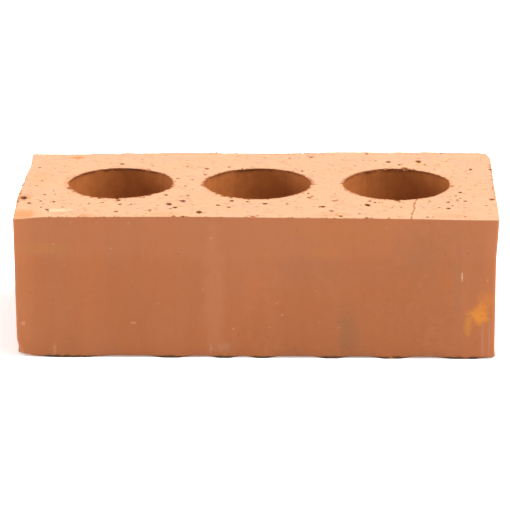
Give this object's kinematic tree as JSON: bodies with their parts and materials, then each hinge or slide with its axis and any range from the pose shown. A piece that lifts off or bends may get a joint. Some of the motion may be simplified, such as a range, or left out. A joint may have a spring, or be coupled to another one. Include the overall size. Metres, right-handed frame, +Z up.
{
  "type": "clay brick",
  "caption": "Wire-cut fired clay brick: a rectangular block with rounded upright arrises and a row of large round holes from bed to bed, laid in mortar to build walls.",
  "frame": {"origin": "middle of the lower bed, which the brick lies on", "axes": "+X along the brick's length, +Y from the front face to the back face, +Z up from the lower bed to the upper bed, along the holes"},
  "size_m": [0.215, 0.1024, 0.065],
  "materials": {
    "fired_clay": "matt, unglazed; smooth extruded faces and rougher, paler wire-cut beds"
  },
  "bodies": {
    "root": {"brick": "fired_clay"}
  },
  "joints": []
}
